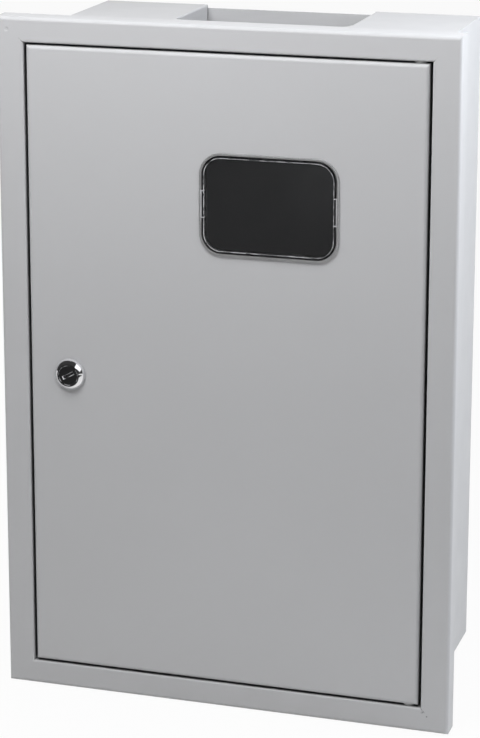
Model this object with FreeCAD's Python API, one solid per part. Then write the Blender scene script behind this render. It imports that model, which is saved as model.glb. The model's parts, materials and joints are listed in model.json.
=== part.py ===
"""Recessed sheet-steel meter box with a hinged, lockable door and a viewing window.

Millimetres. X runs to the right and Z up as one faces the door, and Y runs from the
door to the wall. The origin is the middle of the outer back face, which lies on the wall.
"""
import FreeCAD, Part
import math
import os

V = FreeCAD.Vector

# Overall sizes
flange_w = 334.0
flange_h = 500.0
depth = 172.0
sheet = 1.2
bend_inner = 1.6
sharp_bend = 0.3
fitting_bend = 0.8

# Front frame: a folded rim with a rebate that takes the door
frame_side_w = 20.0
frame_end_w = 18.0
frame_return = 17.0
rebate_depth = 17.0
ledge_w = 12.0

# Tub behind the frame
tub_tuck = 3.0
tub_reach = 7.0
wall_hole_d = 7.0
wall_hole_edge_x = 34.0
wall_hole_edge_z = 39.0

# Cable openings in the top and bottom of the tub
cable_w = 130.0
cable_run = 80.0
cable_corner_r = 6.0
cable_lip_drop = 14.0
cable_lip_front_gap = 8.0
cable_lip_wall_gap = 0.8

# Door
gap_lock = 1.8
gap_hinge = 2.2
gap_ends = 1.6
door_fold = 12.5

# Hinge
hinge_from_jamb = 9.7
hinge_setback = 7.0
hinge_pin_d = 4.0
hinge_pin_reach = 6.0
hinge_head_d = 7.0
hinge_head_t = 1.8
hinge_washer_d = 8.4
hinge_washer_play = 0.1
hinge_clearance = 0.05
rivet_clearance = 0.02

# Window insert
window_w = 100.6
window_h = 73.4
window_corner_r = 16.0
window_from_hinge_edge = 111.5
window_from_top_edge = 105.5
window_rim_w = 2.4
window_rim_t = 1.6
window_rim_round = 0.7
window_pane_t = 2.0
window_pane_sink = 1.0
window_sleeve_depth = 5.5
window_sleeve_wall = 1.4
window_fit = 0.2
window_seat_gap = 0.1
window_clip_long = 18.0
window_clip_short = 7.0
window_clip_spread = 41.0
window_clip_hook = 1.2
window_clip_slit = 1.0
window_clip_root = 0.1

# Cam lock
lock_from_edge = 30.1
lock_below_middle = 7.4
lock_head_d = 23.0
lock_head_t = 4.6
lock_head_bevel = 3.2
lock_head_crown = 0.25
lock_barrel_d = 16.0
lock_barrel_flats = 14.0
lock_hole_fit = 0.2
lock_plug_head_d = 14.0
lock_plug_head_t = 3.0
lock_plug_sink = 0.4
lock_plug_d = 10.4
lock_running_fit = 0.08
lock_key_length = 8.6
lock_key_width = 1.7
lock_key_bevel = 0.5
lock_key_depth = 9.0
lock_key_angle = 28.0
lock_plug_square = 7.0
lock_square_fit = 0.1
lock_nut_flats = 21.0
lock_nut_t = 4.5
lock_washer_d = 23.0
lock_washer_t = 1.0
cam_t = 2.0
cam_w = 14.0
cam_reach = 24.5
cam_tip_r = 4.0
cam_clearance = 1.8
cam_end_play = 0.3
cam_screw_d = 5.0
cam_screw_run = 7.0
cam_screw_head_d = 10.0
cam_screw_head_t = 3.0
cam_screw_flats = 8.0
cam_screw_collar_t = 1.0

# Meter panel on its standoffs
panel_t = 1.5
panel_h = 205.0
panel_side_gap = 24.0
panel_top_gap = 26.0
panel_standoff = 30.0
panel_edge_fold = 10.0
panel_hole_edge = 18.0
panel_slot_w = 6.0
panel_slot_long = 70.0
panel_slot_short = 46.0
standoff_flats = 10.0
panel_stud_d = 6.0
panel_stud_run = 10.0

# Mounting rail for circuit breakers
rail_w = 35.0
rail_base_w = 27.0
rail_rise = 7.5
rail_t = 1.0
rail_side_gap = 25.0
rail_slot_pitch = 25.0
rail_slot_length = 15.0
rail_slot_w = 6.2
rail_standoff = 30.0
bracket_w = 20.0
bracket_t = 1.5
bracket_foot = 14.0
rail_screw_d = 5.0
rail_screw_run = 8.0
rail_screw_head_d = 9.5
rail_screw_head_t = 3.2

# Neutral and earth terminal bars
bar_terminals = 7
bar_pitch = 9.0
bar_end = 12.0
bar_h = 9.0
bar_t = 6.5
bar_gap = 24.0
bar_from_bottom = 52.0
bar_wire_d = 5.0
bar_screw_d = 4.0
bar_screw_head = 1.6
bar_screw_slot_w = 0.9
bar_post_d = 15.0
bar_post_h = 26.0
bar_post_collar = 8.5
bar_post_waist_d = 12.0
bar_post_stud_d = 4.0
bar_post_stud_run = 10.0
post_screw_d = 4.0
post_screw_run = 14.0
post_screw_head_d = 7.5
post_screw_head_t = 2.6

# Earth stud
earth_stud_d = 6.0
earth_stud_run = 22.0
earth_from_side = 22.0
earth_from_bottom = 24.0

# Frame fixings and shared hardware sizes
frame_screw_d = 4.0
frame_screw_run = 9.0
frame_screw_head_d = 8.0
frame_screw_head_t = 2.6
frame_screw_inset = 45.0
frame_nut_flats = 7.0
frame_nut_t = 3.2
m6_nut_flats = 10.0
m6_nut_t = 5.0
m6_washer_d = 12.0
m6_washer_t = 1.6
hole_clearance = 0.3
thread_clearance = 0.05
drive_slot_depth = 0.45
drive_arm = 0.3
drive_blade = 0.07
head_round = 0.4

# How far cutters run past what they cut, and how closely edges are picked by place
overrun = 1.0
pick = 0.001

# Places worked out from the sizes above
bend_outer = bend_inner + sheet
y_face = -depth
y_ledge = y_face + rebate_depth
y_tub = y_ledge + sheet
y_inside = -sheet
opening_w = flange_w - 2 * frame_side_w
opening_h = flange_h - 2 * frame_end_w
mouth_w = opening_w - 2 * ledge_w
mouth_h = opening_h - 2 * ledge_w
tub_w = opening_w - 2 * tub_tuck
tub_h = opening_h + 2 * tub_reach
inside_w = tub_w - 2 * sheet
inside_h = tub_h - 2 * sheet
door_left = -opening_w / 2 + gap_lock
door_right = opening_w / 2 - gap_hinge
door_w = door_right - door_left
door_x = (door_left + door_right) / 2
door_h = opening_h - 2 * gap_ends
y_door_back = y_face + sheet
hinge_x = opening_w / 2 - hinge_from_jamb
hinge_y = y_face + hinge_setback
window_x = door_right - window_from_hinge_edge
window_z = door_h / 2 - window_from_top_edge
lock_x = door_left + lock_from_edge
lock_z = -lock_below_middle
y_cam = y_tub + sheet + cam_clearance
panel_w = inside_w - 2 * panel_side_gap
panel_top = inside_h / 2 - panel_top_gap
panel_z = panel_top - panel_h / 2
y_panel_back = y_inside - panel_standoff
bar_length = bar_terminals * bar_pitch + 2 * bar_end
bar_x = (bar_length + bar_gap) / 2
bar_z = -inside_h / 2 + bar_from_bottom
rail_z = (panel_z - panel_h / 2 + bar_z) / 2
y_rail_back = y_inside - rail_standoff
y_post_top = y_inside - bar_post_h
earth_x = inside_w / 2 - earth_from_side
earth_z = -inside_h / 2 + earth_from_bottom


# Basic shapes

def block(x0, x1, y0, y1, z0, z1):
    return Part.makeBox(x1 - x0, y1 - y0, z1 - z0, V(x0, y0, z0))


def rod(diameter, y0, y1, x=0.0, z=0.0):
    """Round bar along Y."""
    return Part.makeCylinder(diameter / 2, y1 - y0, V(x, y0, z), V(0, 1, 0))


def post(diameter, z0, z1, x=0.0, y=0.0):
    """Round bar along Z."""
    return Part.makeCylinder(diameter / 2, z1 - z0, V(x, y, z0), V(0, 0, 1))


def hexagon(flats, y0, y1, x=0.0, z=0.0):
    """Hexagonal bar along Y."""
    radius = flats / math.sqrt(3)
    corners = []
    for k in range(7):
        turn = math.radians(60 * k)
        corners.append(V(x + radius * math.cos(turn), y0, z + radius * math.sin(turn)))
    return Part.Face(Part.makePolygon(corners)).extrude(V(0, y1 - y0, 0))


def rounded_plate(w, h, r, y0, y1, x=0.0, z=0.0):
    """Plate in the XZ plane with round corners."""
    plate = block(x - w / 2, x + w / 2, y0, y1, z - h / 2, z + h / 2)
    corners = [e for e in plate.Edges if abs(e.tangentAt(e.FirstParameter).y) > 0.99]
    return plate.makeFillet(r, corners)


def slot(length, width, y0, y1, x, z, upright=False):
    """Round-ended cutter for a slot in the XZ plane."""
    half = (length - width) / 2
    dx, dz = (0, half) if upright else (half, 0)
    ends = [rod(width, y0, y1, x - dx, z - dz), rod(width, y0, y1, x + dx, z + dz)]
    wx, wz = (width / 2, half) if upright else (half, width / 2)
    return fuse(ends + [block(x - wx, x + wx, y0, y1, z - wz, z + wz)])


def fuse(shapes):
    return shapes[0].multiFuse(shapes[1:]).removeSplitter()


def group(shapes):
    return Part.makeCompound(shapes)


def outline(runs):
    """Face from a loop of corners: one point for a sharp corner, three for an arc."""
    edges = []
    for k, corner in enumerate(runs):
        if len(corner) == 3:
            edges.append(Part.Arc(*corner).toShape())
        edges.append(Part.LineSegment(corner[-1], runs[(k + 1) % len(runs)][0]).toShape())
    return Part.Face(Part.Wire(edges))


def trapezium(near, far, y0, y1):
    """Prism between two points in the XZ plane and the same two below the X axis."""
    ends = [near, far, (far[0], -far[1]), (near[0], -near[1])]
    corners = [V(x, y0, z) for x, z in ends]
    return Part.Face(Part.makePolygon(corners + corners[:1])).extrude(V(0, y1 - y0, 0))


def all_round(right, top):
    """The right side, the left one like it, and two more made from the other shape."""
    sides = []
    for shape, turn in ((right, 0), (top, -90)):
        for half_turn in (0, 180):
            sides.append(shape.copy())
            sides[-1].rotate(V(0, 0, 0), V(0, 1, 0), turn + half_turn)
    return sides


def mitred_strips(section, w, h):
    """Section of a strip, drawn from an edge at x = 0, set along the sides of a rectangle."""
    reach = min(w, h) / 4
    strips = []
    for near, far in ((w / 2, h / 2), (h / 2, w / 2)):
        strip = section.copy()
        strip.translate(V(near, 0, -far - reach))
        strip = strip.extrude(V(0, 0, 2 * (far + reach)))
        y0, y1 = strip.BoundBox.YMin - overrun, strip.BoundBox.YMax + overrun
        inside, outside = (near - reach, far - reach), (near + reach, far + reach)
        strips.append(strip.common(trapezium(inside, outside, y0, y1)))
    return all_round(*strips)


def sheet_section(path, thickness, inner_r):
    """Face of a folded strip: path holds the corners of its middle line in the XY plane."""
    middle_r = inner_r + thickness / 2
    pts = [V(x, y, 0) for x, y in path]
    sides = {1: [], -1: []}
    for k, p in enumerate(pts):
        if k in (0, len(pts) - 1):
            run = pts[1] - p if k == 0 else p - pts[k - 1]
            normal = V(-run.y, run.x, 0).normalize()
            for s in sides:
                sides[s].append((p + normal * (s * thickness / 2),))
            continue
        into = (p - pts[k - 1]).normalize()
        away = (pts[k + 1] - p).normalize()
        turn = math.atan2(into.x * away.y - into.y * away.x, into.dot(away))
        tangent = middle_r * math.tan(abs(turn) / 2)
        bend = 1 if turn > 0 else -1
        start, end = p - into * tangent, p + away * tangent
        centre = start + V(-into.y, into.x, 0) * (bend * middle_r)
        for s in sides:
            r = middle_r - s * bend * thickness / 2
            spots = [(q - centre).normalize() * r + centre for q in (start, p, end)]
            sides[s].append(tuple(spots))
    return outline(sides[1] + [tuple(reversed(c)) for c in reversed(sides[-1])])


def drilled(shape, diameter, y0, y1, spots):
    """The shape with round holes along Y at each (x, z)."""
    return shape.cut(group([rod(diameter, y0, y1, x, z) for x, z in spots]))


def pan_screw(shank_d, run, head_d, head_t, y_seat, x, z):
    """Screw driven along +Y: head on the seat's front, with a cross recess."""
    head = rod(head_d, y_seat - head_t, y_seat, x, z)
    rim = [e for e in head.Edges if e.BoundBox.YMax < y_seat - head_t + pick]
    head = head.makeFillet(head_t * head_round, rim)
    arm, blade = head_d * drive_arm, head_d * drive_blade
    deep = y_seat - head_t * (1 - drive_slot_depth)
    front = y_seat - head_t - overrun
    cross = [block(x - arm, x + arm, front, deep, z - blade, z + blade),
             block(x - blade, x + blade, front, deep, z - arm, z + arm)]
    return head.fuse(rod(shank_d, y_seat, y_seat + run, x, z)).cut(fuse(cross)).removeSplitter()


def hex_nut(flats, thread_d, y0, y1, x, z):
    """Nut with its corners chamfered on both faces."""
    over = flats / math.sqrt(3) * 2
    dome = rod(over, y0, y1, x, z)
    dome = dome.makeChamfer((over - flats) / 2, dome.Edges[0:1] + dome.Edges[2:3])
    bore = rod(thread_d + 2 * thread_clearance, y0 - overrun, y1 + overrun, x, z)
    return hexagon(flats, y0, y1, x, z).common(dome).cut(bore)


def ring(outer_d, inner_d, y0, y1, x, z):
    return rod(outer_d, y0, y1, x, z).cut(rod(inner_d, y0 - overrun, y1 + overrun, x, z))


# Where fasteners and fixings go

def corners_of(dx, dz, x=0.0, z=0.0):
    return [(x + sx * dx, z + sz * dz) for sz in (-1, 1) for sx in (-1, 1)]


wall_holes = corners_of(tub_w / 2 - wall_hole_edge_x, tub_h / 2 - wall_hole_edge_z)
frame_screws_at = corners_of(mouth_w / 2 - frame_screw_inset, mouth_h / 2 + ledge_w / 2)
panel_fixings = corners_of(panel_w / 2 - panel_hole_edge, panel_h / 2 - panel_hole_edge, 0, panel_z)
rail_length = inside_w - 2 * rail_side_gap
rail_slots = int((rail_length - rail_slot_length) // rail_slot_pitch)
rail_slots_at = [(k - (rail_slots - 1) / 2) * rail_slot_pitch for k in range(rail_slots)]
brackets_at = [rail_slots_at[1], rail_slots_at[-2]]
bar_posts_at = [side * bar_x + end * (bar_length - bar_end) / 2 for side in (-1, 1) for end in (-1, 1)]


# Sheet-metal shell

def cable_lip(side):
    """Lip folded down along one short side of the top opening, left (-1) or right (1)."""
    stub = sharp_bend + 2 * sheet
    middle = tub_h / 2 - sheet / 2
    edge = cable_w / 2 + sheet / 2
    path = [(edge + stub, middle), (edge, middle), (edge, tub_h / 2 - cable_lip_drop)]
    face = sheet_section([(side * x, z) for x, z in path], sheet, sharp_bend)
    face.rotate(V(0, 0, 0), V(1, 0, 0), 90)
    y0 = y_inside - cable_run + cable_lip_front_gap
    y1 = y_inside - cable_lip_wall_gap
    face.translate(V(0, y1, 0))
    return face.extrude(V(0, y0 - y1, 0))


def cable_opening():
    """Cutter for the top opening: it runs back through the fold of the back wall."""
    low = tub_h / 2 - bend_outer
    high = tub_h / 2 + overrun
    front = y_inside - cable_run
    whole = block(-cable_w / 2, cable_w / 2, front, overrun, low, high)
    corners = [e for e in whole.Edges if e.BoundBox.YMax < front + pick and e.BoundBox.ZLength > sheet]
    whole = whole.makeFillet(cable_corner_r, corners)
    reach = cable_w / 2 + sharp_bend + sheet
    seats = block(-reach, reach, front + cable_lip_front_gap, y_inside - cable_lip_wall_gap, low, high)
    return whole.fuse(seats)


def upside_down(shape):
    return shape.mirror(V(0, 0, 0), V(0, 0, 1))


def make_tub():
    """Folded body: a wall all round, a flat back, and a lip round the mouth at the front."""
    half = sheet / 2
    leg = min(tub_w - mouth_w, tub_h - mouth_h) / 4
    y_front = y_tub - overrun
    path = [(-leg, y_tub + half), (-half, y_tub + half), (-half, -half), (-leg, -half)]
    wall = mitred_strips(sheet_section(path, sheet, bend_inner), tub_w, tub_h)
    flat_x, flat_z = tub_w / 2 - leg, tub_h / 2 - leg
    back = block(-flat_x, flat_x, y_inside, 0, -flat_z, flat_z)
    lip = block(-flat_x, flat_x, y_tub, y_tub + sheet, -flat_z, flat_z)
    lip = lip.cut(block(-mouth_w / 2, mouth_w / 2, y_front, y_tub + 2 * sheet, -mouth_h / 2, mouth_h / 2))
    tub = fuse(wall + [back, lip])
    opening = cable_opening()
    tub = tub.cut(opening).cut(upside_down(opening))
    lips = [cable_lip(-1), cable_lip(1)]
    tub = fuse([tub] + lips + [upside_down(lip) for lip in lips])
    tub = drilled(tub, wall_hole_d, -2 * sheet, overrun, wall_holes)
    return drilled(tub, frame_screw_d + 2 * hole_clearance, y_front, y_tub + 2 * sheet, frame_screws_at)


def make_frame():
    """Four folded strips, mitred and welded: a return, a flat face and a well with a ledge for the door."""
    half = sheet / 2
    leg = min(frame_side_w, frame_end_w) / 3
    y_mid = y_face + half
    y_shelf = y_ledge + half
    outer = [(-half, y_face + frame_return), (-half, y_mid), (-leg, y_mid)]
    inner = [(leg, y_mid), (half, y_mid), (half, y_shelf), (-ledge_w, y_shelf)]
    rims = mitred_strips(sheet_section(outer, sheet, bend_inner), flange_w, flange_h)
    wells = mitred_strips(sheet_section(inner, sheet, sharp_bend), opening_w, opening_h)
    face_x, face_z = flange_w / 2 - leg, flange_h / 2 - leg
    hole_x, hole_z = opening_w / 2 + leg, opening_h / 2 + leg
    side = trapezium((hole_x, hole_z), (face_x, face_z), y_face, y_face + sheet)
    end = trapezium((hole_z, hole_x), (face_z, face_x), y_face, y_face + sheet)
    strips = [fuse(parts) for parts in zip(rims, all_round(side, end), wells)]
    hole_d = frame_screw_d + 2 * hole_clearance
    strips = [drilled(strip, hole_d, y_ledge - overrun, y_tub + overrun, frame_screws_at) for strip in strips]
    reach = opening_h / 2 + sheet + overrun
    pin_hole = post(hinge_pin_d + 2 * rivet_clearance, -reach, reach, hinge_x, hinge_y)
    return group([strip.cut(pin_hole) for strip in strips])


def make_door():
    """Folded pan: a flat face with an edge turned back all round."""
    half = sheet / 2
    path = [(-half, y_face + door_fold), (-half, y_face + half), (-door_fold, y_face + half)]
    edge = mitred_strips(sheet_section(path, sheet, bend_inner), door_w, door_h)
    face_x, face_z = door_w / 2 - door_fold, door_h / 2 - door_fold
    door = fuse(edge + [block(-face_x, face_x, y_face, y_door_back, -face_z, face_z)])
    door.translate(V(door_x, 0, 0))
    cut_w = window_w - 2 * window_rim_w + 2 * window_fit
    cut_h = window_h - 2 * window_rim_w + 2 * window_fit
    cut_r = window_corner_r - window_rim_w + window_fit
    y0, y1 = y_face - overrun, y_door_back + overrun
    door = door.cut(rounded_plate(cut_w, cut_h, cut_r, y0, y1, window_x, window_z))
    door = door.cut(barrel_form(lock_hole_fit, y0, y1))
    pin_d = hinge_pin_d + 2 * hinge_clearance
    return door.cut(post(pin_d, -door_h, door_h, hinge_x, hinge_y))


# Window insert

def make_window():
    """Clear snap-in window: a rim on the door's face, a sleeve through it and spring clips behind."""
    y_seat = y_face - window_seat_gap
    y_rim = y_seat - window_rim_t
    rim = rounded_plate(window_w, window_h, window_corner_r, y_rim, y_seat, window_x, window_z)
    front = [e for e in rim.Edges if e.BoundBox.YMax < y_rim + pick]
    rim = rim.makeFillet(window_rim_round, front)
    sleeve_w, sleeve_h = window_w - 2 * window_rim_w, window_h - 2 * window_rim_w
    sleeve_r = window_corner_r - window_rim_w
    y_end = y_face + window_sleeve_depth
    sleeve = rounded_plate(sleeve_w, sleeve_h, sleeve_r, y_seat, y_end, window_x, window_z)
    well_w, well_h = sleeve_w - 2 * window_sleeve_wall, sleeve_h - 2 * window_sleeve_wall
    well_r = sleeve_r - window_sleeve_wall
    y_pane = y_rim + window_pane_sink
    recess = rounded_plate(well_w, well_h, well_r, y_rim - overrun, y_pane, window_x, window_z)
    y_hollow = y_pane + window_pane_t
    hollow = rounded_plate(well_w, well_h, well_r, y_hollow, y_end + overrun, window_x, window_z)
    body = fuse([rim, sleeve]).cut(recess).cut(hollow)
    clips, slits = window_clips(sleeve_w / 2, sleeve_h / 2, y_end)
    return fuse([body.cut(group(slits))] + clips)


def window_clips(half_w, half_h, y_end):
    """Hooks behind the door on all four sides, and the slits that free each of them."""
    y_hook = y_door_back + window_fit
    clips, slits = [], []
    lean = window_clip_hook
    spots = [(1, 0, 0, window_clip_long), (-1, 0, 0, window_clip_long)]
    for offset in (-window_clip_spread / 2, window_clip_spread / 2):
        spots += [(0, 1, offset, window_clip_short), (0, -1, offset, window_clip_short)]
    for sx, sz, offset, length in spots:
        edge = half_w if sx else half_h
        root = edge - window_clip_root
        path = [V(0, y_hook, root), V(0, y_hook, edge + lean), V(0, y_end, edge), V(0, y_end, root)]
        hook = Part.Face(Part.makePolygon(path + path[:1])).extrude(V(length, 0, 0))
        hook.translate(V(-length / 2, 0, 0))
        gap = window_clip_slit
        inside = edge - window_sleeve_wall - window_clip_root
        outside = edge + window_clip_root
        beside = (length + gap) / 2
        pair = [block(side - gap / 2, side + gap / 2, y_hook, y_end + overrun, inside, outside)
                for side in (-beside, beside)]
        turn = {(0, 1): 0, (1, 0): 90, (0, -1): 180, (-1, 0): 270}[(sx, sz)]
        for shape in [hook] + pair:
            shape.rotate(V(0, 0, 0), V(0, 1, 0), turn)
            shape.translate(V(window_x + (offset if sz else 0), 0, window_z + (offset if sx else 0)))
        clips.append(hook)
        slits += pair
    return clips, slits


# Cam lock

def barrel_form(extra, y0, y1):
    """Round barrel with two flats, grown by a clearance."""
    flat = lock_barrel_flats / 2 + extra
    wide = lock_barrel_d
    tube = rod(lock_barrel_d + 2 * extra, y0, y1, lock_x, lock_z)
    return tube.common(block(lock_x - wide, lock_x + wide, y0, y1, lock_z - flat, lock_z + flat))


def make_lock_housing():
    y_head = y_face - lock_head_t
    head_r = lock_head_d / 2
    inner, outer = V(head_r - lock_head_bevel, y_head, 0), V(head_r, y_head + lock_head_bevel, 0)
    crown = (inner + outer) / 2 + V(1, -1, 0).normalize() * lock_head_crown
    runs = [(V(0, y_head, 0),), (inner, crown, outer), (V(head_r, y_face, 0),), (V(0, y_face, 0),)]
    head = outline(runs).revolve(V(0, 0, 0), V(0, 1, 0), 360)
    head.translate(V(lock_x, 0, lock_z))
    housing = fuse([head, barrel_form(0, y_face, y_cam - cam_end_play)])
    seat_d = lock_plug_head_d + 2 * lock_running_fit
    y_seat = y_head + lock_plug_sink + lock_plug_head_t + lock_running_fit
    housing = housing.cut(rod(seat_d, y_head - overrun, y_seat, lock_x, lock_z))
    return housing.cut(rod(lock_plug_d + 2 * lock_running_fit, y_head, y_cam, lock_x, lock_z))


def make_lock_plug():
    y_plug = y_face - lock_head_t + lock_plug_sink
    y_shoulder = y_cam - cam_end_play
    head = rod(lock_plug_head_d, y_plug, y_plug + lock_plug_head_t, lock_x, lock_z)
    shaft = rod(lock_plug_d, y_plug, y_shoulder, lock_x, lock_z)
    half = lock_plug_square / 2
    y_end = y_cam + cam_t
    square = block(lock_x - half, lock_x + half, y_shoulder - overrun, y_end, lock_z - half, lock_z + half)
    arm, blade = lock_key_length / 2, lock_key_width / 2
    key = block(-arm, arm, y_plug - overrun, y_plug + lock_key_depth, -blade, blade)
    key.rotate(V(0, 0, 0), V(0, 1, 0), -lock_key_angle)
    key.translate(V(lock_x, 0, lock_z))
    plug = fuse([head, shaft, square]).cut(key)
    mouth = [e for e in plug.Edges if e.BoundBox.YMax < y_plug + pick and e.Length < lock_plug_head_d]
    plug = plug.makeChamfer(lock_key_bevel, mouth)
    thread_d = cam_screw_d + 2 * thread_clearance
    thread = rod(thread_d, y_end - cam_screw_run - overrun, y_end + overrun, lock_x, lock_z)
    return plug.cut(thread)


def make_lock_cam():
    """Tongue that hangs down when unlocked and turns behind the frame's ledge to lock."""
    y1 = y_cam + cam_t
    half = cam_w / 2
    z_tip = lock_z - cam_reach
    tongue = block(lock_x - half, lock_x + half, y_cam, y1, z_tip, lock_z)
    tip = [e for e in tongue.Edges if e.BoundBox.ZMax < z_tip + pick and e.BoundBox.YLength > cam_t / 2]
    cam = fuse([tongue.makeFillet(cam_tip_r, tip), rod(cam_w, y_cam, y1, lock_x, lock_z)])
    hole = lock_plug_square / 2 + lock_square_fit
    y0 = y_cam - overrun
    return cam.cut(block(lock_x - hole, lock_x + hole, y0, y1 + overrun, lock_z - hole, lock_z + hole))


def make_cam_screw():
    y_seat = y_cam + cam_t
    head = hexagon(cam_screw_flats, y_seat, y_seat + cam_screw_head_t, lock_x, lock_z)
    collar = rod(cam_screw_head_d, y_seat, y_seat + cam_screw_collar_t, lock_x, lock_z)
    return fuse([head, collar, rod(cam_screw_d, y_seat - cam_screw_run, y_seat, lock_x, lock_z)])


def lock_stack():
    """Washer and nut that clamp the lock to the back of the door's face."""
    y_washer = y_door_back + lock_washer_t
    bore = lock_barrel_d + 2 * lock_hole_fit
    washer = ring(lock_washer_d, bore, y_door_back, y_washer, lock_x, lock_z)
    nut = hex_nut(lock_nut_flats, lock_barrel_d, y_washer, y_washer + lock_nut_t, lock_x, lock_z)
    return washer, nut


# Hinge

def upper_hinge():
    """Riveted pivot pin and spacer washer at the top of the door."""
    z_seat = opening_h / 2 + sheet
    z_tip = door_h / 2 - hinge_pin_reach
    head = post(hinge_head_d, z_seat, z_seat + hinge_head_t, hinge_x, hinge_y)
    pin = fuse([head, post(hinge_pin_d, z_tip, z_seat, hinge_x, hinge_y)])
    z_washer = opening_h / 2
    thick = gap_ends - hinge_washer_play
    washer = post(hinge_washer_d, z_washer - thick, z_washer, hinge_x, hinge_y)
    hole_d = hinge_pin_d + 2 * hinge_clearance
    hole = post(hole_d, z_washer - thick - overrun, z_washer + overrun, hinge_x, hinge_y)
    return pin, washer.cut(hole)


# Meter panel

def make_panel():
    half = panel_t / 2
    y_front = y_panel_back - half
    side = panel_w / 2 - half
    y_edge = y_panel_back + panel_edge_fold
    path = [(-side, y_edge), (-side, y_front), (side, y_front), (side, y_edge)]
    section = sheet_section(path, panel_t, fitting_bend)
    section.translate(V(0, 0, panel_z - panel_h / 2))
    panel = section.extrude(V(0, 0, panel_h))
    y0, y1 = y_panel_back - panel_t - overrun, y_panel_back + overrun
    panel = drilled(panel, panel_stud_d + 2 * hole_clearance, y0, y1, panel_fixings)
    slots = [slot(panel_slot_long, panel_slot_w, y0, y1, 0, panel_z + panel_h / 4, True)]
    for side in (-1, 1):
        x = side * panel_w / 4
        slots.append(slot(panel_slot_short, panel_slot_w, y0, y1, x, panel_z - panel_h / 4))
    return panel.cut(group(slots))


def panel_fasteners():
    """Hexagonal standoffs with a stud end, and the washer and nut on each."""
    y_plate = y_panel_back - panel_t
    y_washer = y_plate - m6_washer_t
    y_nut = y_washer - m6_nut_t
    standoffs, washers, nuts = [], [], []
    for x, z in panel_fixings:
        hexed = hexagon(standoff_flats, y_panel_back, y_inside, x, z)
        stud = rod(panel_stud_d, y_panel_back - panel_stud_run, y_panel_back, x, z)
        standoffs.append(fuse([hexed, stud]))
        washers.append(ring(m6_washer_d, panel_stud_d + 2 * hole_clearance, y_washer, y_plate, x, z))
        nuts.append(hex_nut(m6_nut_flats, panel_stud_d, y_nut, y_washer, x, z))
    return group(standoffs), group(washers), group(nuts)


# Mounting rail

def make_rail():
    half = rail_t / 2
    y_base = y_rail_back - half
    y_lip = y_rail_back - rail_rise + half
    web = rail_base_w / 2 - half
    edge = rail_w / 2
    half_path = [(-edge, y_lip), (-web, y_lip), (-web, y_base)]
    path = half_path + [(-z, y) for z, y in reversed(half_path)]
    section = sheet_section(path, rail_t, fitting_bend)
    section.rotate(V(0, 0, 0), V(0, 1, 0), -90)
    section.translate(V(-rail_length / 2, 0, rail_z))
    rail = section.extrude(V(rail_length, 0, 0))
    y0, y1 = y_rail_back - 2 * rail_t, y_rail_back + overrun
    slots = [slot(rail_slot_length, rail_slot_w, y0, y1, x, rail_z) for x in rail_slots_at]
    return rail.cut(group(slots))


def rail_supports():
    """Hat-shaped brackets spot-welded to the back, and the screws that hold the rail to them."""
    half = bracket_t / 2
    y_top, y_foot = y_rail_back + half, y_inside - half
    riser = rail_base_w / 2
    foot = riser + bracket_foot
    half_path = [(-foot, y_foot), (-riser, y_foot), (-riser, y_top)]
    path = half_path + [(-z, y) for z, y in reversed(half_path)]
    thread_d = rail_screw_d + 2 * thread_clearance
    y_seat = y_rail_back - rail_t
    size = (rail_screw_d, rail_screw_run, rail_screw_head_d, rail_screw_head_t)
    y0, y1 = y_rail_back - overrun, y_rail_back + 2 * bracket_t
    brackets, screws = [], []
    for x in brackets_at:
        section = sheet_section(path, bracket_t, fitting_bend)
        section.rotate(V(0, 0, 0), V(0, 1, 0), -90)
        section.translate(V(x - bracket_w / 2, 0, rail_z))
        bracket = section.extrude(V(bracket_w, 0, 0))
        brackets.append(drilled(bracket, thread_d, y0, y1, [(x, rail_z)]))
        screws.append(pan_screw(*size, y_seat, x, rail_z))
    return group(brackets), group(screws)


# Terminal bars

def terminal_bar(side):
    """Brass bar with crosswise wire holes, left (-1) or right (1)."""
    x_mid = side * bar_x
    y0 = y_post_top - bar_t
    half, rise = bar_length / 2, bar_h / 2
    bar = block(x_mid - half, x_mid + half, y0, y_post_top, bar_z - rise, bar_z + rise)
    places = terminals_at(side)
    y_wire = (y0 + y_post_top) / 2
    wires = [post(bar_wire_d, bar_z - bar_h, bar_z + bar_h, x, y_wire) for x in places]
    bar = bar.cut(group(wires))
    thread_d = bar_screw_d + 2 * thread_clearance
    bar = drilled(bar, thread_d, y0 - overrun, y_wire, [(x, bar_z) for x in places])
    ends = [(x, bar_z) for x in bar_posts_at if x * side > 0]
    return drilled(bar, post_screw_d + 2 * hole_clearance, y0 - overrun, y_post_top + overrun, ends)


def terminals_at(side):
    return [side * bar_x + (k - (bar_terminals - 1) / 2) * bar_pitch for k in range(bar_terminals)]


def terminal_screws(side):
    """Slotted grub screws, flush threads inside and heads proud of the bar."""
    y0 = y_post_top - bar_t
    screws = []
    for x in terminals_at(side):
        screw = rod(bar_screw_d, y0 - bar_screw_head, y0 + (bar_t - bar_wire_d) / 2, x, bar_z)
        half = bar_screw_slot_w / 2
        y_top = y0 - bar_screw_head - overrun
        y_slot = y0 - bar_screw_head / 2
        cut = block(x - bar_screw_d, x + bar_screw_d, y_top, y_slot, bar_z - half, bar_z + half)
        screws.append(screw.cut(cut))
    return group(screws)


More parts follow.
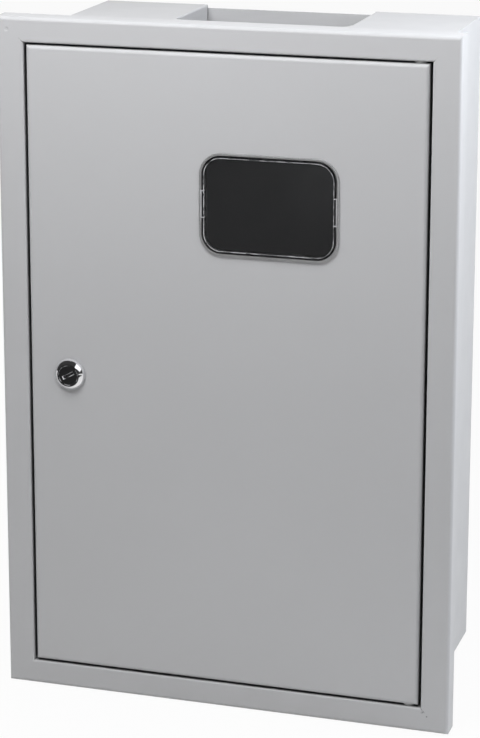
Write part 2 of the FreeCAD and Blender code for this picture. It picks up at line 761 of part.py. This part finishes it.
def bar_posts(side):
    """Ribbed round posts that carry a bar, with a blind hole at each end."""
    posts = []
    for x in [p for p in bar_posts_at if p * side > 0]:
        whole = rod(bar_post_d, y_post_top, y_inside, x, bar_z)
        y0, y1 = y_post_top + bar_post_collar, y_inside - bar_post_collar
        whole = whole.cut(ring(bar_post_d + overrun, bar_post_waist_d, y0, y1, x, bar_z))
        stud_d = bar_post_stud_d + 2 * thread_clearance
        foot = rod(stud_d, y_inside - bar_post_stud_run - hole_clearance, y_inside + overrun, x, bar_z)
        screw_d = post_screw_d + 2 * thread_clearance
        deep = post_screw_run - bar_t + hole_clearance
        top = rod(screw_d, y_post_top - overrun, y_post_top + deep, x, bar_z)
        posts.append(whole.cut(foot).cut(top))
    return group(posts)


def bar_hardware():
    """Welded studs in the posts' feet, and the screws that hold the bars down."""
    studs = [rod(bar_post_stud_d, y_inside - bar_post_stud_run, y_inside, x, bar_z) for x in bar_posts_at]
    y_seat = y_post_top - bar_t
    size = (post_screw_d, post_screw_run, post_screw_head_d, post_screw_head_t)
    screws = [pan_screw(*size, y_seat, x, bar_z) for x in bar_posts_at]
    return group(studs), group(screws)


# Earth stud

def earth_hardware():
    """Welded stud with two washers and two nuts for the earth conductor."""
    stud = rod(earth_stud_d, y_inside - earth_stud_run, y_inside, earth_x, earth_z)
    washers, nuts = [], []
    y = y_inside
    for _ in range(2):
        bore = earth_stud_d + 2 * hole_clearance
        washers.append(ring(m6_washer_d, bore, y - m6_washer_t, y, earth_x, earth_z))
        y -= m6_washer_t
        nuts.append(hex_nut(m6_nut_flats, earth_stud_d, y - m6_nut_t, y, earth_x, earth_z))
        y -= m6_nut_t
    return stud, group(washers), group(nuts)


# Frame fixings

def frame_fixings():
    """Screws from the rebate through the ledge and the tub's lip, with nuts behind."""
    y_nut = y_tub + sheet
    size = (frame_screw_d, frame_screw_run, frame_screw_head_d, frame_screw_head_t)
    screws, nuts = [], []
    for x, z in frame_screws_at:
        screws.append(pan_screw(*size, y_ledge, x, z))
        nuts.append(hex_nut(frame_nut_flats, frame_screw_d, y_nut, y_nut + frame_nut_t, x, z))
    return group(screws), group(nuts)


def build():
    nodes = {"tub": make_tub(), "front_frame": make_frame(), "door": make_door(), "window": make_window()}
    nodes["frame_screws"], nodes["frame_nuts"] = frame_fixings()
    nodes["lock_housing"] = make_lock_housing()
    nodes["lock_plug"] = make_lock_plug()
    nodes["lock_cam"] = make_lock_cam()
    nodes["cam_screw"] = make_cam_screw()
    nodes["lock_washer"], nodes["lock_nut"] = lock_stack()
    nodes["hinge_pin_upper"], nodes["hinge_washer_upper"] = upper_hinge()
    nodes["hinge_pin_lower"] = upside_down(nodes["hinge_pin_upper"])
    nodes["hinge_washer_lower"] = upside_down(nodes["hinge_washer_upper"])
    nodes["meter_panel"] = make_panel()
    nodes["panel_standoffs"], nodes["panel_washers"], nodes["panel_nuts"] = panel_fasteners()
    nodes["mounting_rail"] = make_rail()
    nodes["rail_brackets"], nodes["rail_screws"] = rail_supports()
    for name, side in (("neutral", -1), ("earth", 1)):
        nodes[name + "_bar"] = terminal_bar(side)
        nodes[name + "_bar_screws"] = terminal_screws(side)
        nodes[name + "_bar_posts"] = bar_posts(side)
    nodes["post_studs"], nodes["post_screws"] = bar_hardware()
    nodes["earth_stud"], nodes["earth_washers"], nodes["earth_nuts"] = earth_hardware()
    return nodes


os.makedirs("parts", exist_ok=True)
for node_name, node_shape in build().items():
    node_shape.exportStep("parts/" + node_name + ".step")
    solids = node_shape.Solids
    print(node_name, len(solids), "valid" if node_shape.isValid() else "INVALID", round(node_shape.Volume, 1))
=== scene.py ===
"""Recessed meter box: finishes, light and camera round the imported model. Metres."""
import bpy
import json
import math
from mathutils import Matrix, Quaternion, Vector


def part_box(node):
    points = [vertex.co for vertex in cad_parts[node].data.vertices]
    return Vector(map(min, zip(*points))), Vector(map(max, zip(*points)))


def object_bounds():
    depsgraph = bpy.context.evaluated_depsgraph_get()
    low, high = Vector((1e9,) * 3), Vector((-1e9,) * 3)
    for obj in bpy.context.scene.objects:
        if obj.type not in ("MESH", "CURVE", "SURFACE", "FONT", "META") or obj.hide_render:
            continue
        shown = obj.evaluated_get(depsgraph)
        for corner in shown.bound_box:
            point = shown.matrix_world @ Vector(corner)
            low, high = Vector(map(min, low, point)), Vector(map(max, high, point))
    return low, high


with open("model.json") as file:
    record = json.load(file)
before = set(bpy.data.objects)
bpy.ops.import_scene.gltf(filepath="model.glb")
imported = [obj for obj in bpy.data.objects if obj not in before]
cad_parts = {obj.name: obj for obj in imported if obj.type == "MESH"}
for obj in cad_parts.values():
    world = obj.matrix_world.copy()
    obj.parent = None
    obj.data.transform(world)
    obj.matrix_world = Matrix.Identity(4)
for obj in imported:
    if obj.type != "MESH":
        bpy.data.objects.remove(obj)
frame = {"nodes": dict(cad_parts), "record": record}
cad_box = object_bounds()
nodes = frame["nodes"]
scene = bpy.context.scene

# Colours, in linear light
WHITE = (1.0, 1.0, 1.0)
COAT_GREY = (0.472, 0.471, 0.471)
COAT_GREY_DEEP = (0.443, 0.442, 0.442)
CHIP_GREY = (0.07, 0.07, 0.07)
# Painted shade in narrow gaps
GAP_SHADE_GREY = (0.05, 0.05, 0.05)
CHROME_TINT = (0.72, 0.72, 0.73)
SATIN_TINT = (0.46, 0.46, 0.47)
ZINC_LIGHT = (0.62, 0.63, 0.65)
ZINC_DARK = (0.5, 0.51, 0.54)
GALV_LIGHT = (0.62, 0.63, 0.64)
GALV_DARK = (0.46, 0.475, 0.49)
BRASS_LIGHT = (0.76, 0.55, 0.22)
BRASS_DARK = (0.62, 0.42, 0.15)
NYLON = (0.90, 0.90, 0.88)
BLUE = (0.03, 0.12, 0.42)
GREEN = (0.07, 0.30, 0.06)
MOULD_SHADE = 0.88
# Window: the pane's dark tint and the dark sleeve are painted shade, the pale colour is painted
# highlight
PANE_SHADE_TINT = (0.31, 0.31, 0.315)
CLEAR = (0.96, 0.96, 0.965)
SLEEVE_SHADE = (0.16, 0.16, 0.165)
EDGE_HIGHLIGHT = (0.75, 0.75, 0.76)

# Camera: the photograph's place, turn and lens, with the sensor in millimetres and the image in pixels
IMAGE_W, IMAGE_H = 480, 738
SENSOR = 36.0
FOCAL_PX = 2571.1
AXIS_X_PX, AXIS_Y_PX = 190.0, 269.0
CAMERA_YAW = math.radians(-18.063)
CAMERA_PITCH = math.radians(-13.945)
CAMERA_ROLL = math.radians(0.196)
CAMERA_AT = Vector((0.51886, -1.83675, 0.51203))
NEAR, FAR = 0.05, 50.0

# Stage: the floor, how much of its white is its own, and a dark card that only reflections see
FLOOR_HALF = 6.0
FLOOR_DROP = 0.0008
FLOOR_GREY = (0.6, 0.6, 0.6)
FLOOR_GLOW = 0.95
CARD_X = (-3.0, 1.3)
CARD_Y = (-4.0, -0.6)
CARD_RISE = 0.004
CARD_DARK = (0.012, 0.012, 0.012)
STAGE_ROUGH = 0.9

# Textures: the middle range of a noise, the fade of a painted line, and two shares in the paint's tone
NOISE_MIDDLE = (0.3, 0.7)
SOFT = 0.0001
DRIFT_SHARE = 0.7
GRAIN_SHARE = 0.3

# Window: corner radius of its rim, how far in its sleeve and its pane begin, and its pale lines of
# painted highlight
RIM_CORNER = 0.016
RIM_LINE = 0.0006
RIM_HIGHLIGHT = 0.5
SLEEVE_INSET = 0.0018
PANE_INSET = 0.0038
PANE_LINE = 0.0007
PANE_HAZE = 0.029
PANE_ROUGH = 0.18
LINE_HAZE = 0.6
CLIP_HALF = 0.0095
CLIP_INSET = 0.0017
CLIP_LINE = 0.0003
CLIP_HIGHLIGHT = 0.9

# Lock: the satin edge of its head, partly a painted reflection, and painted highlights round its core
# and on its keyway's bevel
SATIN_EDGE = 0.0010
SATIN_ROUGH = 0.3
SATIN_METAL = 0.25
SEAM_RADIUS = 0.0072
KEY_BEVEL = 0.0005
KEY_REACH = 0.0052

# Marks in the paint: open mitres, chips and a dimple on the frame's face, and painted shade in narrow
# gaps
FRONT_Y = -0.172
MITRE_X, MITRE_Z = 0.147, 0.232
MITRE_LENGTH = 0.0036
MITRE_BACK = (FRONT_Y + 0.0004, FRONT_Y + 0.0020)
CHIPS = [((0.1482, FRONT_Y, -0.2350), 0.0011), ((0.1516, FRONT_Y, -0.2376), 0.0008)]
DIMPLE = ((-0.1592, FRONT_Y, 0.2410), 0.0018)
DIMPLE_DEPTH = 0.0004
# Painted shade: how far a gap is sought, how shut in it must be, and how far behind the front it starts
GAP_REACH = 0.006
GAP_OPEN = (0.12, 0.42)
GAP_FROM = (FRONT_Y + 0.0003, FRONT_Y + 0.0010)

# Light: the studio round the object, what the lamps point at, and their tints
AMBIENT = 0.08
STUDIO_DARK = (0.05, 0.05, 0.05)
BEHIND_FADE = 0.25
AIM = Vector((0.05, -0.12, 0.05))
PALE = (0.963, 0.971, 1.0)
COOL = (0.89, 0.93, 1.0)

# Lamps: name, place, size, turn in degrees, watts, tint, and whether bright metal mirrors it
LAMPS = [
    ("front_left_box", (-0.17, -0.61, 0.77), 0.5, 0, 8.0, PALE, False),
    ("front_box", (-1.0, -1.9, 0.6), 1.0, 0, 4.2, WHITE, False),
    ("key_box", (0.58, -0.60, 0.58), 0.7, 45, 2.6, PALE, True),
    ("top_box", (0.45, -0.05, 0.85), 0.6, 0, 1.8, COOL, False),
    ("right_box", (0.95, 0.05, 0.20), 0.5, 0, 4.0, COOL, True),
    ("corner_box", (0.40, -0.10, 0.40), 0.15, 0, 1.05, COOL, False),
    ("back_box", (-0.70, 1.10, 0.10), 0.6, 0, 7.0, WHITE, False),
]


class Tree:
    """Shader nodes of a material or of the world."""

    def __init__(self, owner):
        owner.use_nodes = True
        self.tree = owner.node_tree

    def node(self, kind, inputs=None, **settings):
        """Adds a node, its inputs given by name or by number."""
        made = self.tree.nodes.new(kind)
        for key, value in settings.items():
            setattr(made, key, value)
        for key, value in (inputs or {}).items():
            self.put(made.inputs[key], value)
        return made

    def put(self, socket, value):
        """Links an output to a socket, or sets the socket to a constant."""
        if isinstance(value, bpy.types.NodeSocket):
            self.tree.links.new(value, socket)
        elif isinstance(value, tuple) and socket.type == "RGBA" and len(value) == 3:
            socket.default_value = value + (1.0,)
        else:
            socket.default_value = value

    def ramp(self, value, low, high, to_low=0.0, to_high=1.0):
        """Maps one range to another and holds its ends."""
        inputs = {"Value": value, "From Min": low, "From Max": high, "To Min": to_low, "To Max": to_high}
        return self.node("ShaderNodeMapRange", inputs).outputs["Result"]

    def fade(self, value, low, high):
        """One below a range, nothing above it."""
        return self.ramp(value, low, high, 1.0, 0.0)

    def math(self, operation, a, b=0.0):
        return self.node("ShaderNodeMath", {0: a, 1: b}, operation=operation).outputs[0]

    def plus(self, a, b):
        return self.math("ADD", a, b)

    def minus(self, a, b):
        return self.math("SUBTRACT", a, b)

    def apart(self, a, b):
        return self.math("ABSOLUTE", self.minus(a, b))

    def times(self, first, *others):
        for other in others:
            first = self.math("MULTIPLY", first, other)
        return first

    def most(self, first, *others):
        for other in others:
            first = self.math("MAXIMUM", first, other)
        return first

    def length(self, a, b):
        return self.math("SQRT", self.plus(self.times(a, a), self.times(b, b)))

    def axes(self, vector):
        split = self.node("ShaderNodeSeparateXYZ", {"Vector": vector})
        return split.outputs["X"], split.outputs["Y"], split.outputs["Z"]

    def blend(self, fac, a, b):
        """Mixes two shaders."""
        return self.node("ShaderNodeMixShader", {"Fac": fac, 1: a.outputs[0], 2: b.outputs[0]})

    def show(self, output, shader):
        """Sends a shader to an output node."""
        self.put(self.tree.nodes[output].inputs["Surface"], shader.outputs[0])


class Finish(Tree):
    """A material, its main shader and the point of the object that it colours."""

    def __init__(self, name):
        self.material = bpy.data.materials.new(name)
        super().__init__(self.material)
        self.shader = self.tree.nodes["Principled BSDF"]
        self.place = self.node("ShaderNodeTexCoord").outputs["Object"]

    def set(self, **values):
        """Sets inputs of the main shader by name, with underscores for spaces."""
        for key, value in values.items():
            self.put(self.shader.inputs[key.replace("_", " ")], value)

    def noise(self, scale, detail=2.0, roughness=0.5, stretch=None):
        where = self.place
        if stretch:
            where = self.node("ShaderNodeMapping", {"Vector": where, "Scale": stretch}).outputs["Vector"]
        inputs = {"Vector": where, "Scale": scale, "Detail": detail, "Roughness": roughness}
        return self.node("ShaderNodeTexNoise", inputs).outputs["Fac"]

    def spread(self, noise, low, high):
        """Spreads most of a noise over a range of values."""
        return self.ramp(noise, *NOISE_MIDDLE, low, high)

    def patches(self, scale, low, high, least=0.0, full=1.0):
        """Breaks a mark up, from its least strength to its full one."""
        return self.ramp(self.noise(scale), low, high, least, full)

    def mix(self, fac, a, b):
        """Mixes two colours, which the mix node takes at sockets 6 and 7."""
        return self.node("ShaderNodeMix", {"Factor": fac, 6: a, 7: b}, data_type="RGBA").outputs[2]

    def bump(self, height, strength, distance, under=None):
        """Raises the surface by a height, over an earlier bump if there is one."""
        inputs = {"Height": height, "Strength": strength, "Distance": distance}
        if under is not None:
            inputs["Normal"] = under
        normal = self.node("ShaderNodeBump", inputs).outputs["Normal"]
        self.set(Normal=normal)
        return normal

    def near(self, spot, radius):
        """One at a point, falling to nothing at a distance from it."""
        inputs = {0: self.place, 1: spot}
        away = self.node("ShaderNodeVectorMath", inputs, operation="DISTANCE").outputs["Value"]
        return self.fade(away, radius / 2, radius)

    def shut_in(self, reach):
        """One deep in a narrow gap, nothing on an open face or in a plain corner."""
        around = self.node("ShaderNodeAmbientOcclusion", {"Distance": reach}).outputs["AO"]
        return self.fade(around, *GAP_OPEN)


def powder_coat():
    """Semi-matt grey powder paint: fine orange peel, a faint drift of tone, a few marks and painted
    shade in narrow gaps.
    """
    f = Finish("powder_coat")
    x, y, z = f.axes(f.place)
    drift = f.times(f.noise(9.0, detail=3.0), DRIFT_SHARE)
    grain = f.times(f.noise(2600.0), GRAIN_SHARE)
    paint = f.mix(f.plus(drift, grain), COAT_GREY_DEEP, COAT_GREY)
    chips = [f.near(spot, radius) for spot, radius in CHIPS]
    worn = f.times(f.most(mitre_marks(f, x, y, z), *chips), f.patches(900.0, 0.35, 0.6))
    # Painted shade: the paint turns dark grey where it is shut in behind the front, as shade falls in
    # gaps
    shade = f.times(f.ramp(y, *GAP_FROM), f.shut_in(GAP_REACH))
    f.set(Base_Color=f.mix(shade, f.mix(worn, paint, CHIP_GREY), GAP_SHADE_GREY))
    f.set(Roughness=f.spread(f.noise(40.0), 0.40, 0.47), Specular_IOR_Level=0.75)
    peel = f.bump(f.noise(900.0, detail=3.0, roughness=0.6), strength=0.10, distance=0.0002)
    f.bump(f.near(*DIMPLE), strength=0.6, distance=-DIMPLE_DEPTH, under=peel)
    return f.material


def mitre_marks(f, x, y, z):
    """Dark hairlines along the mitres from the frame's inner corners, all but the lower left one."""
    past_x = f.minus(f.math("ABSOLUTE", x), MITRE_X)
    past_z = f.minus(f.math("ABSOLUTE", z), MITRE_Z)
    line = f.fade(f.apart(past_x, past_z), 2 * SOFT, 6 * SOFT)
    start = f.ramp(past_x, -4 * SOFT, 0.0)
    end = f.fade(past_x, MITRE_LENGTH / 2, MITRE_LENGTH)
    front = f.fade(y, *MITRE_BACK)
    open_corner = f.most(f.ramp(x, 0.0, MITRE_X), f.ramp(z, 0.0, MITRE_Z))
    return f.times(line, start, end, front, open_corner)


def window_plastic():
    """Clear moulding: a pane tinted dark and a dark sleeve round it as painted shade, and a pale line of
    painted highlight where they meet.
    """
    f = Finish("clear_plastic")
    low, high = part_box("window")
    half_w, half_h = (high.x - low.x) / 2, (high.z - low.z) / 2
    x, _, z = f.axes(f.place)
    aside = f.apart(x, (low.x + high.x) / 2)
    above = f.apart(z, (low.z + high.z) / 2)
    past_x = f.most(f.minus(aside, half_w - RIM_CORNER), 0.0)
    past_z = f.most(f.minus(above, half_h - RIM_CORNER), 0.0)
    inset = f.minus(RIM_CORNER, f.length(past_x, past_z))
    pane = f.ramp(inset, PANE_INSET - SOFT, PANE_INSET + SOFT)
    sleeve = f.ramp(inset, SLEEVE_INSET - SOFT, SLEEVE_INSET + SOFT)
    # Painted highlights: pale lines where the sleeve meets the pane, along the rim's outer edge and
    # round the clips
    seam_highlight = f.times(f.ramp(inset, PANE_INSET - PANE_LINE, PANE_INSET - PANE_LINE / 2), f.minus(1.0, pane))
    line = f.most(seam_highlight, f.ramp(inset, 0.0, RIM_LINE, RIM_HIGHLIGHT, 0.0))
    line = f.times(line, f.patches(160.0, 0.35, 0.55, least=0.35))
    line = f.most(line, clip_highlights(f, inset, f.minus(half_w, aside), above))
    # Painted shade: the pane is tinted dark for the unlit inside of the box, and the sleeve band
    # darkened
    tint = f.mix(pane, f.mix(sleeve, CLEAR, SLEEVE_SHADE), PANE_SHADE_TINT)
    haze = f.most(f.times(line, LINE_HAZE), f.times(pane, PANE_HAZE))
    rough = f.spread(f.noise(300.0), 0.015, 0.05)
    f.set(Base_Color=f.mix(line, tint, EDGE_HIGHLIGHT), IOR=1.49)
    f.set(Transmission_Weight=f.minus(1.0, haze))
    f.set(Roughness=f.plus(rough, f.times(pane, PANE_ROUGH)))
    f.bump(f.noise(120.0), strength=0.01, distance=0.0003)
    return f.material


def clip_highlights(f, inset, from_side, above):
    """Painted highlight: a pale outline of the spring clip behind the middle of the left and right
    sides.
    """
    at_side = f.fade(from_side, PANE_INSET, PANE_INSET + SOFT)
    ends = f.times(f.fade(f.apart(above, CLIP_HALF), CLIP_LINE, CLIP_LINE + 2 * SOFT),
                   f.ramp(inset, CLIP_INSET - 3 * SOFT, CLIP_INSET - SOFT))
    back = f.times(f.fade(f.apart(inset, CLIP_INSET), 2 * SOFT, 4 * SOFT),
                   f.fade(above, CLIP_HALF, CLIP_HALF + 2 * SOFT))
    return f.times(at_side, f.most(ends, back), CLIP_HIGHLIGHT)


def chrome():
    """Bright plating, satin at the edge of the lock's head, partly a painted reflection, and satin
    patches as painted highlights round its core and keyway.
    """
    f = Finish("chrome")
    low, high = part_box("lock_housing")
    x, y, z = f.axes(f.place)
    radius = f.length(f.minus(x, (low.x + high.x) / 2), f.minus(z, (low.z + high.z) / 2))
    rim = (high.x - low.x) / 2
    # Satin edge of the head: partly a satin finish, partly a painted reflection of the light grey on its
    # collar
    edge = f.ramp(radius, rim - SATIN_EDGE, rim - SATIN_EDGE / 2)
    # Painted highlight: a broken satin ring round the core, for the light arc on that edge
    seam_highlight = f.fade(f.apart(radius, SEAM_RADIUS), SOFT, 3 * SOFT)
    seam_highlight = f.times(seam_highlight, f.patches(260.0, 0.45, 0.6, full=0.7))
    # Painted glints: broken satin on the keyway's bevel
    depth = f.minus(y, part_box("lock_plug")[0].y)
    bevel = f.ramp(depth, KEY_BEVEL / 8, KEY_BEVEL / 4)
    bevel = f.times(bevel, f.fade(depth, KEY_BEVEL, KEY_BEVEL * 1.2))
    keyway_glint = f.times(bevel, f.fade(radius, KEY_REACH, KEY_REACH + 2 * SOFT))
    keyway_glint = f.times(keyway_glint, f.patches(320.0, 0.42, 0.58, full=0.8))
    # The satin edge together with the painted highlights
    satin = f.most(edge, seam_highlight, keyway_glint)
    rough = f.spread(f.noise(1500.0), 0.05, 0.12)
    f.set(Base_Color=f.mix(satin, CHROME_TINT, SATIN_TINT))
    f.set(Metallic=f.ramp(satin, 0.0, 1.0, 1.0, SATIN_METAL))
    f.set(Roughness=f.plus(rough, f.times(satin, SATIN_ROUGH)))
    f.bump(f.noise(700.0), strength=0.03, distance=0.0001)
    return f.material


def zinc_plate():
    """Cloudy bright zinc on small fasteners."""
    f = Finish("zinc_plate")
    cloud = f.noise(420.0, detail=3.0)
    f.set(Base_Color=f.mix(cloud, ZINC_DARK, ZINC_LIGHT), Metallic=1.0)
    f.set(Roughness=f.spread(cloud, 0.24, 0.4))
    f.bump(f.noise(2400.0), strength=0.06, distance=0.0001)
    return f.material


def galvanised():
    """Spangled zinc coat on plain sheet."""
    f = Finish("galvanised")
    flakes = f.node("ShaderNodeTexVoronoi", {"Vector": f.place, "Scale": 130.0})
    spangle = f.node("ShaderNodeSeparateColor", {"Color": flakes.outputs["Color"]}).outputs[0]
    f.set(Base_Color=f.mix(spangle, GALV_DARK, GALV_LIGHT), Metallic=1.0)
    f.set(Roughness=f.ramp(spangle, 0.0, 1.0, 0.36, 0.52))
    f.bump(f.noise(900.0), strength=0.05, distance=0.0001)
    return f.material


def brass():
    """Drawn brass bar with fine lines along its length."""
    f = Finish("brass")
    drawn = f.noise(300.0, detail=3.0, roughness=0.6, stretch=(0.03, 1.0, 1.0))
    f.set(Base_Color=f.mix(drawn, BRASS_DARK, BRASS_LIGHT), Metallic=1.0)
    f.set(Roughness=f.spread(drawn, 0.22, 0.36))
    f.bump(drawn, strength=0.08, distance=0.0001)
    return f.material


def moulded(name, colour):
    """Dull moulded plastic with a fine spark-eroded texture."""
    f = Finish(name)
    cloud = f.noise(160.0, detail=3.0)
    darker = tuple(c * MOULD_SHADE for c in colour)
    f.set(Base_Color=f.mix(cloud, darker, colour))
    f.set(Roughness=f.spread(cloud, 0.42, 0.55))
    f.bump(f.noise(2200.0), strength=0.12, distance=0.0001)
    return f.material


FINISHES = {
    "powder_coat": powder_coat(),
    "clear_plastic": window_plastic(),
    "chrome": chrome(),
    "zinc_steel": zinc_plate(),
    "galvanised_sheet": galvanised(),
    "nylon": moulded("nylon", NYLON),
    "brass": brass(),
    "blue_plastic": moulded("blue_plastic", BLUE),
    "green_plastic": moulded("green_plastic", GREEN),
}


def dress_nodes():
    """Gives every CAD node the finish of its slot."""
    for row in frame["record"]["subparts"]:
        mesh = nodes[row["node"]].data
        mesh.materials.clear()
        mesh.materials.append(FINISHES[row["material_slot"]])


def add_camera():
    """Camera at the photograph's place, turned by yaw, pitch and roll and shifted to its framing."""
    cy, sy = math.cos(CAMERA_YAW), math.sin(CAMERA_YAW)
    cp, sp = math.cos(CAMERA_PITCH), math.sin(CAMERA_PITCH)
    cr, sr = math.cos(CAMERA_ROLL), math.sin(CAMERA_ROLL)
    forward = Vector((sy * cp, cy * cp, sp))
    right = Vector((cy, -sy, 0.0))
    down = forward.cross(right)
    side = right * cr + down * sr
    up = right * sr - down * cr
    data = bpy.data.cameras.new("camera")
    camera = bpy.data.objects.new("camera", data)
    scene.collection.objects.link(camera)
    turn = Matrix((side, up, -forward)).transposed()
    camera.matrix_world = Matrix.Translation(CAMERA_AT) @ turn.to_4x4()
    data.sensor_width = SENSOR
    data.lens = FOCAL_PX / IMAGE_H * SENSOR
    data.shift_x = (IMAGE_W / 2 - AXIS_X_PX) / IMAGE_H
    data.shift_y = (AXIS_Y_PX - IMAGE_H / 2) / IMAGE_H
    data.clip_start, data.clip_end = NEAR, FAR
    scene.camera = camera


def flat_card(name, x0, x1, y0, y1, z, finish):
    """A level rectangle of the stage."""
    mesh = bpy.data.meshes.new(name)
    mesh.from_pydata([(x0, y0, z), (x1, y0, z), (x1, y1, z), (x0, y1, z)], [], [(0, 1, 2, 3)])
    mesh.materials.append(finish.material)
    card = bpy.data.objects.new(name, mesh)
    scene.collection.objects.link(card)
    return card


def add_floor():
    """White floor that keeps a faint shadow, and a dark card on it that only reflections see."""
    low = cad_box[0].z - FLOOR_DROP
    f = Finish("floor")
    f.set(Base_Color=FLOOR_GREY, Roughness=STAGE_ROUGH)
    path = f.node("ShaderNodeLightPath").outputs
    seen = f.most(path["Is Camera Ray"], path["Is Glossy Ray"], path["Is Transmission Ray"])
    glow = f.node("ShaderNodeEmission", {"Color": WHITE, "Strength": 1.0})
    f.show("Material Output", f.blend(f.times(seen, FLOOR_GLOW), f.shader, glow))
    flat_card("floor", -FLOOR_HALF, FLOOR_HALF, -FLOOR_HALF, FLOOR_HALF, low, f)
    dark = Finish("dark_card")
    dark.set(Base_Color=CARD_DARK, Roughness=STAGE_ROUGH)
    card = flat_card("dark_card", *CARD_X, *CARD_Y, low + CARD_RISE, dark)
    card.visible_camera = card.visible_transmission = False
    card.visible_diffuse = card.visible_shadow = False


def add_softbox(name, at, size, turn, watts, tint, mirrored):
    """A square lamp on the object, hidden from the camera and, unless mirrored, from reflections."""
    light = bpy.data.lights.new(name, "AREA")
    light.size = size
    light.energy = watts
    light.color = tint
    lamp = bpy.data.objects.new(name, light)
    scene.collection.objects.link(lamp)
    lamp.location = at
    lamp.rotation_mode = "QUATERNION"
    facing = (AIM - Vector(at)).to_track_quat("-Z", "Y")
    lamp.rotation_quaternion = facing @ Quaternion((0.0, 0.0, 1.0), math.radians(turn))
    lamp.visible_camera = lamp.visible_transmission = False
    lamp.visible_glossy = mirrored


def add_light():
    """White behind the object, a dim dark studio in front of it, and the lamps."""
    world = bpy.data.worlds.new("studio")
    scene.world = world
    w = Tree(world)
    ambient = w.tree.nodes["Background"]
    w.put(ambient.inputs["Color"], WHITE)
    w.put(ambient.inputs["Strength"], AMBIENT)
    white = w.node("ShaderNodeBackground", {"Color": WHITE, "Strength": 1.0})
    dark = w.node("ShaderNodeBackground", {"Color": STUDIO_DARK, "Strength": 1.0})
    backward = w.axes(w.node("ShaderNodeTexCoord").outputs["Generated"])[1]
    mirrored = w.blend(w.ramp(backward, 0.0, BEHIND_FADE), dark, white)
    path = w.node("ShaderNodeLightPath").outputs
    unseen = w.blend(path["Is Glossy Ray"], ambient, mirrored)
    seen = w.most(path["Is Camera Ray"], path["Is Transmission Ray"])
    w.show("World Output", w.blend(seen, unseen, white))
    for lamp in LAMPS:
        add_softbox(*lamp)


dress_nodes()
add_camera()
add_floor()
add_light()
scene.view_settings.view_transform = "Standard"
